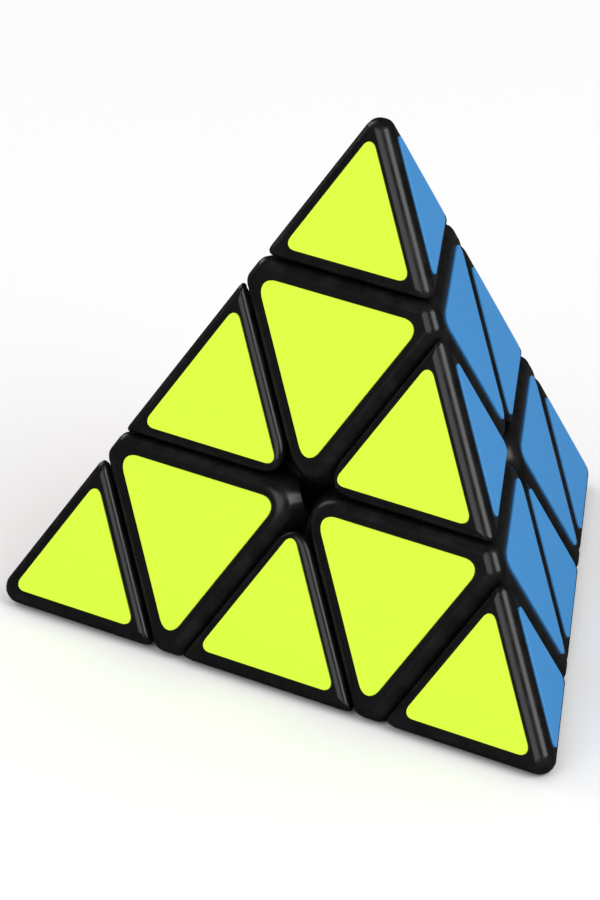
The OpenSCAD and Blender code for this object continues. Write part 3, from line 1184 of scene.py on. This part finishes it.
SHELL_PLASTIC = Finish("black_gloss_plastic", (0.0045, 0.0045, 0.005), (0.019, 0.018, 0.018), 0.2)
INNER_PLASTIC = Finish("black_satin_plastic", (0.008, 0.008, 0.009), (0.02, 0.02, 0.02), 0.38, grain=0.12)
SCREW_STEEL = Finish(
    "zinc_plated_steel", (0.56, 0.57, 0.58), (0.4, 0.4, 0.4), 0.28, metallic=1.0, grain=0.1
)
WIRE_STEEL = Finish("drawn_wire_steel", (0.42, 0.42, 0.43), (0.3, 0.3, 0.3), 0.3, metallic=1.0, grain=0.15)
VINYL_COLOURS = {
    Hue.LIME: ((0.66, 0.94, 0.043), (0.5, 0.7, 0.05)),
    Hue.BLUE: ((0.058, 0.30, 0.68), (0.04, 0.18, 0.45)),
    Hue.RED: ((0.72, 0.02, 0.03), (0.45, 0.02, 0.02)),
    Hue.GREEN: ((0.02, 0.42, 0.12), (0.02, 0.26, 0.08)),
}
INNER_NODES = ("stalk_", "foot_", "clip_", "core")
METAL_NODES = {"core_screws": SCREW_STEEL, "core_washers": SCREW_STEEL, "core_springs": WIRE_STEEL}


@dataclass
class Finishes:
    """Makes every material of the puzzle."""

    effects: SurfaceEffects = field(default_factory=SurfaceEffects)

    def vinyl(self) -> dict[Hue, bpy.types.Material]:
        """Makes the four sticker colours.

        Returns:
            The material of each colour.
        """
        return {
            hue: Finish(
                f"{hue.value}_vinyl", clean, worn, 0.34, smudge=0.06, grain=0.03,
                grain_scale=1800.0, wave_share=1.2, wear=0.3, specular=0.3,
            ).make(self.effects)
            for hue, (clean, worn) in VINYL_COLOURS.items()
        }

    def plain(self, finish: Finish) -> bpy.types.Material:
        """Makes one finish."""
        return finish.make(self.effects)


@dataclass
class Mechanism:
    """The parts inside: core, screws, springs, stalks, feet and clips."""

    nodes: dict[str, bpy.types.Object]

    def dress(self, finishes: Finishes) -> None:
        """Gives the inner parts their plastic and metal.

        Args:
            finishes: Makes the materials.
        """
        plastic = finishes.plain(INNER_PLASTIC)
        metals = {name: finishes.plain(finish) for name, finish in METAL_NODES.items()}
        for name, node in self.nodes.items():
            if name in metals:
                material = metals[name]
            elif name.startswith(INNER_NODES):
                material = plastic
            else:
                continue
            node.data.materials.clear()
            node.data.materials.append(material)
            LOG.info("inner part %s dressed", name)


@dataclass(frozen=True)
class View:
    """Where the camera stands."""

    azimuth: float = 5.18
    elevation: float = 25.77
    distance: float = 0.916
    lens: float = 251.0
    sensor: float = 36.0
    clip_start: float = 0.01
    clip_end: float = 20.0
    target: tuple[float, float, float] = (-0.0115, -0.0007, 0.0060)

    def direction(self) -> Vector:
        """The unit vector from the target to the camera."""
        turn, rise = math.radians(self.azimuth), math.radians(self.elevation)
        return Vector((math.sin(turn) * math.cos(rise), -math.cos(turn) * math.cos(rise), math.sin(rise)))


@dataclass(frozen=True)
class SoftBox:
    """A rectangular lamp that faces the puzzle.

    Args:
        name: Name of the lamp.
        aim: Direction from the puzzle to the lamp.
        distance: Distance from the puzzle in metres.
        width: Width in metres.
        height: Height in metres.
        radiance: How bright its surface is.
    """

    name: str
    aim: tuple[float, float, float]
    distance: float
    width: float
    height: float
    radiance: float

    def hang(self) -> None:
        """Adds the lamp to the scene."""
        light = bpy.data.lights.new(self.name, "AREA")
        light.shape = "RECTANGLE"
        light.size = self.width
        light.size_y = self.height
        light.energy = self.radiance * math.pi * self.width * self.height
        lamp = bpy.data.objects.new(self.name, light)
        away = Vector(self.aim).normalized()
        lamp.location = away * self.distance
        lamp.rotation_euler = away.to_track_quat("Z", "Y").to_euler()
        bpy.context.scene.collection.objects.link(lamp)


SOFT_BOXES = (
    SoftBox("front_box", (-0.44, -0.77, 0.46), 1.6, 1.1, 1.1, 1.7),
    SoftBox("right_box", (0.61, -0.47, 0.64), 1.6, 1.1, 1.1, 3.6),
    SoftBox("rear_box", (-0.67, 0.57, 0.5), 1.6, 0.9, 0.9, 1.8),
)


@dataclass
class Studio:
    """A pale floor, soft light and the camera."""

    floor_z: float
    view: View = field(default_factory=View)
    floor_size: float = 6.0
    floor_white: float = 0.9
    floor_rough: float = 0.9
    floor_in_gloss: float = 0.05
    sky_level: float = 0.66
    sky_in_gloss: float = 0.035

    def build(self) -> None:
        """Sets up the whole studio."""
        self.floor()
        self.sky()
        for box in SOFT_BOXES:
            box.hang()
        self.camera()

    def floor(self) -> None:
        """Lays a pale sheet under the puzzle, kept dim in reflections as black flags would."""
        Bench.clear_selection()
        bpy.ops.mesh.primitive_plane_add(size=self.floor_size, location=(0, 0, self.floor_z))
        sheet = bpy.context.active_object
        sheet.name = "studio_floor"
        Bench.settle(sheet)
        paper = bpy.data.materials.new("white_paper")
        paper.use_nodes = True
        tree = paper.node_tree
        shader = tree.nodes["Principled BSDF"]
        shader.inputs["Roughness"].default_value = self.floor_rough
        shader.inputs["Specular IOR Level"].default_value = 0.0
        mix = NodeKit.add(tree, "ShaderNodeMix", data_type="RGBA")
        mix.inputs["A"].default_value = (*(self.floor_white,) * 3, 1.0)
        mix.inputs["B"].default_value = (*(self.floor_in_gloss,) * 3, 1.0)
        path = NodeKit.add(tree, "ShaderNodeLightPath")
        tree.links.new(path.outputs["Is Glossy Ray"], mix.inputs["Factor"])
        tree.links.new(mix.outputs["Result"], shader.inputs["Base Color"])
        sheet.data.materials.append(paper)
        sheet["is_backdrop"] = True

    def sky(self) -> None:
        """Makes a soft even sky, kept dim in reflections."""
        world = bpy.data.worlds.new("soft_sky")
        bpy.context.scene.world = world
        world.use_nodes = True
        tree = world.node_tree
        background = tree.nodes["Background"]
        background.inputs["Color"].default_value = (1.0, 1.0, 1.0, 1.0)
        path = NodeKit.add(tree, "ShaderNodeLightPath")
        level = NodeKit.add(tree, "ShaderNodeMapRange")
        level.inputs["To Min"].default_value = self.sky_level
        level.inputs["To Max"].default_value = self.sky_in_gloss
        tree.links.new(path.outputs["Is Glossy Ray"], level.inputs["Value"])
        tree.links.new(level.outputs["Result"], background.inputs["Strength"])

    def camera(self) -> None:
        """Stands the camera at the view."""
        data = bpy.data.cameras.new("camera")
        data.lens = self.view.lens
        data.sensor_width = self.view.sensor
        data.clip_start = self.view.clip_start
        data.clip_end = self.view.clip_end
        camera = bpy.data.objects.new("camera", data)
        away = self.view.direction()
        camera.location = Vector(self.view.target) + away * self.view.distance
        camera.rotation_euler = away.to_track_quat("Z", "Y").to_euler()
        bpy.context.scene.collection.objects.link(camera)
        bpy.context.scene.camera = camera
        bpy.context.scene.view_settings.view_transform = "Standard"


def main() -> None:
    """Builds and dresses the puzzle, piece by piece."""
    logging.basicConfig(level=logging.INFO, format="%(name)s: %(message)s")
    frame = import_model()
    low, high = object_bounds()
    sizes = PuzzleSizes()
    finishes = Finishes()
    Studio(floor_z=low[2]).build()
    shells = MouldedShells(sizes)
    shells.build()
    shells.dress(finishes.plain(SHELL_PLASTIC))
    stickers = Stickers(sizes)
    stickers.build()
    stickers.dress(finishes.vinyl())
    Mechanism(frame["nodes"]).dress(finishes)


if __name__ == "__main__":
    main()
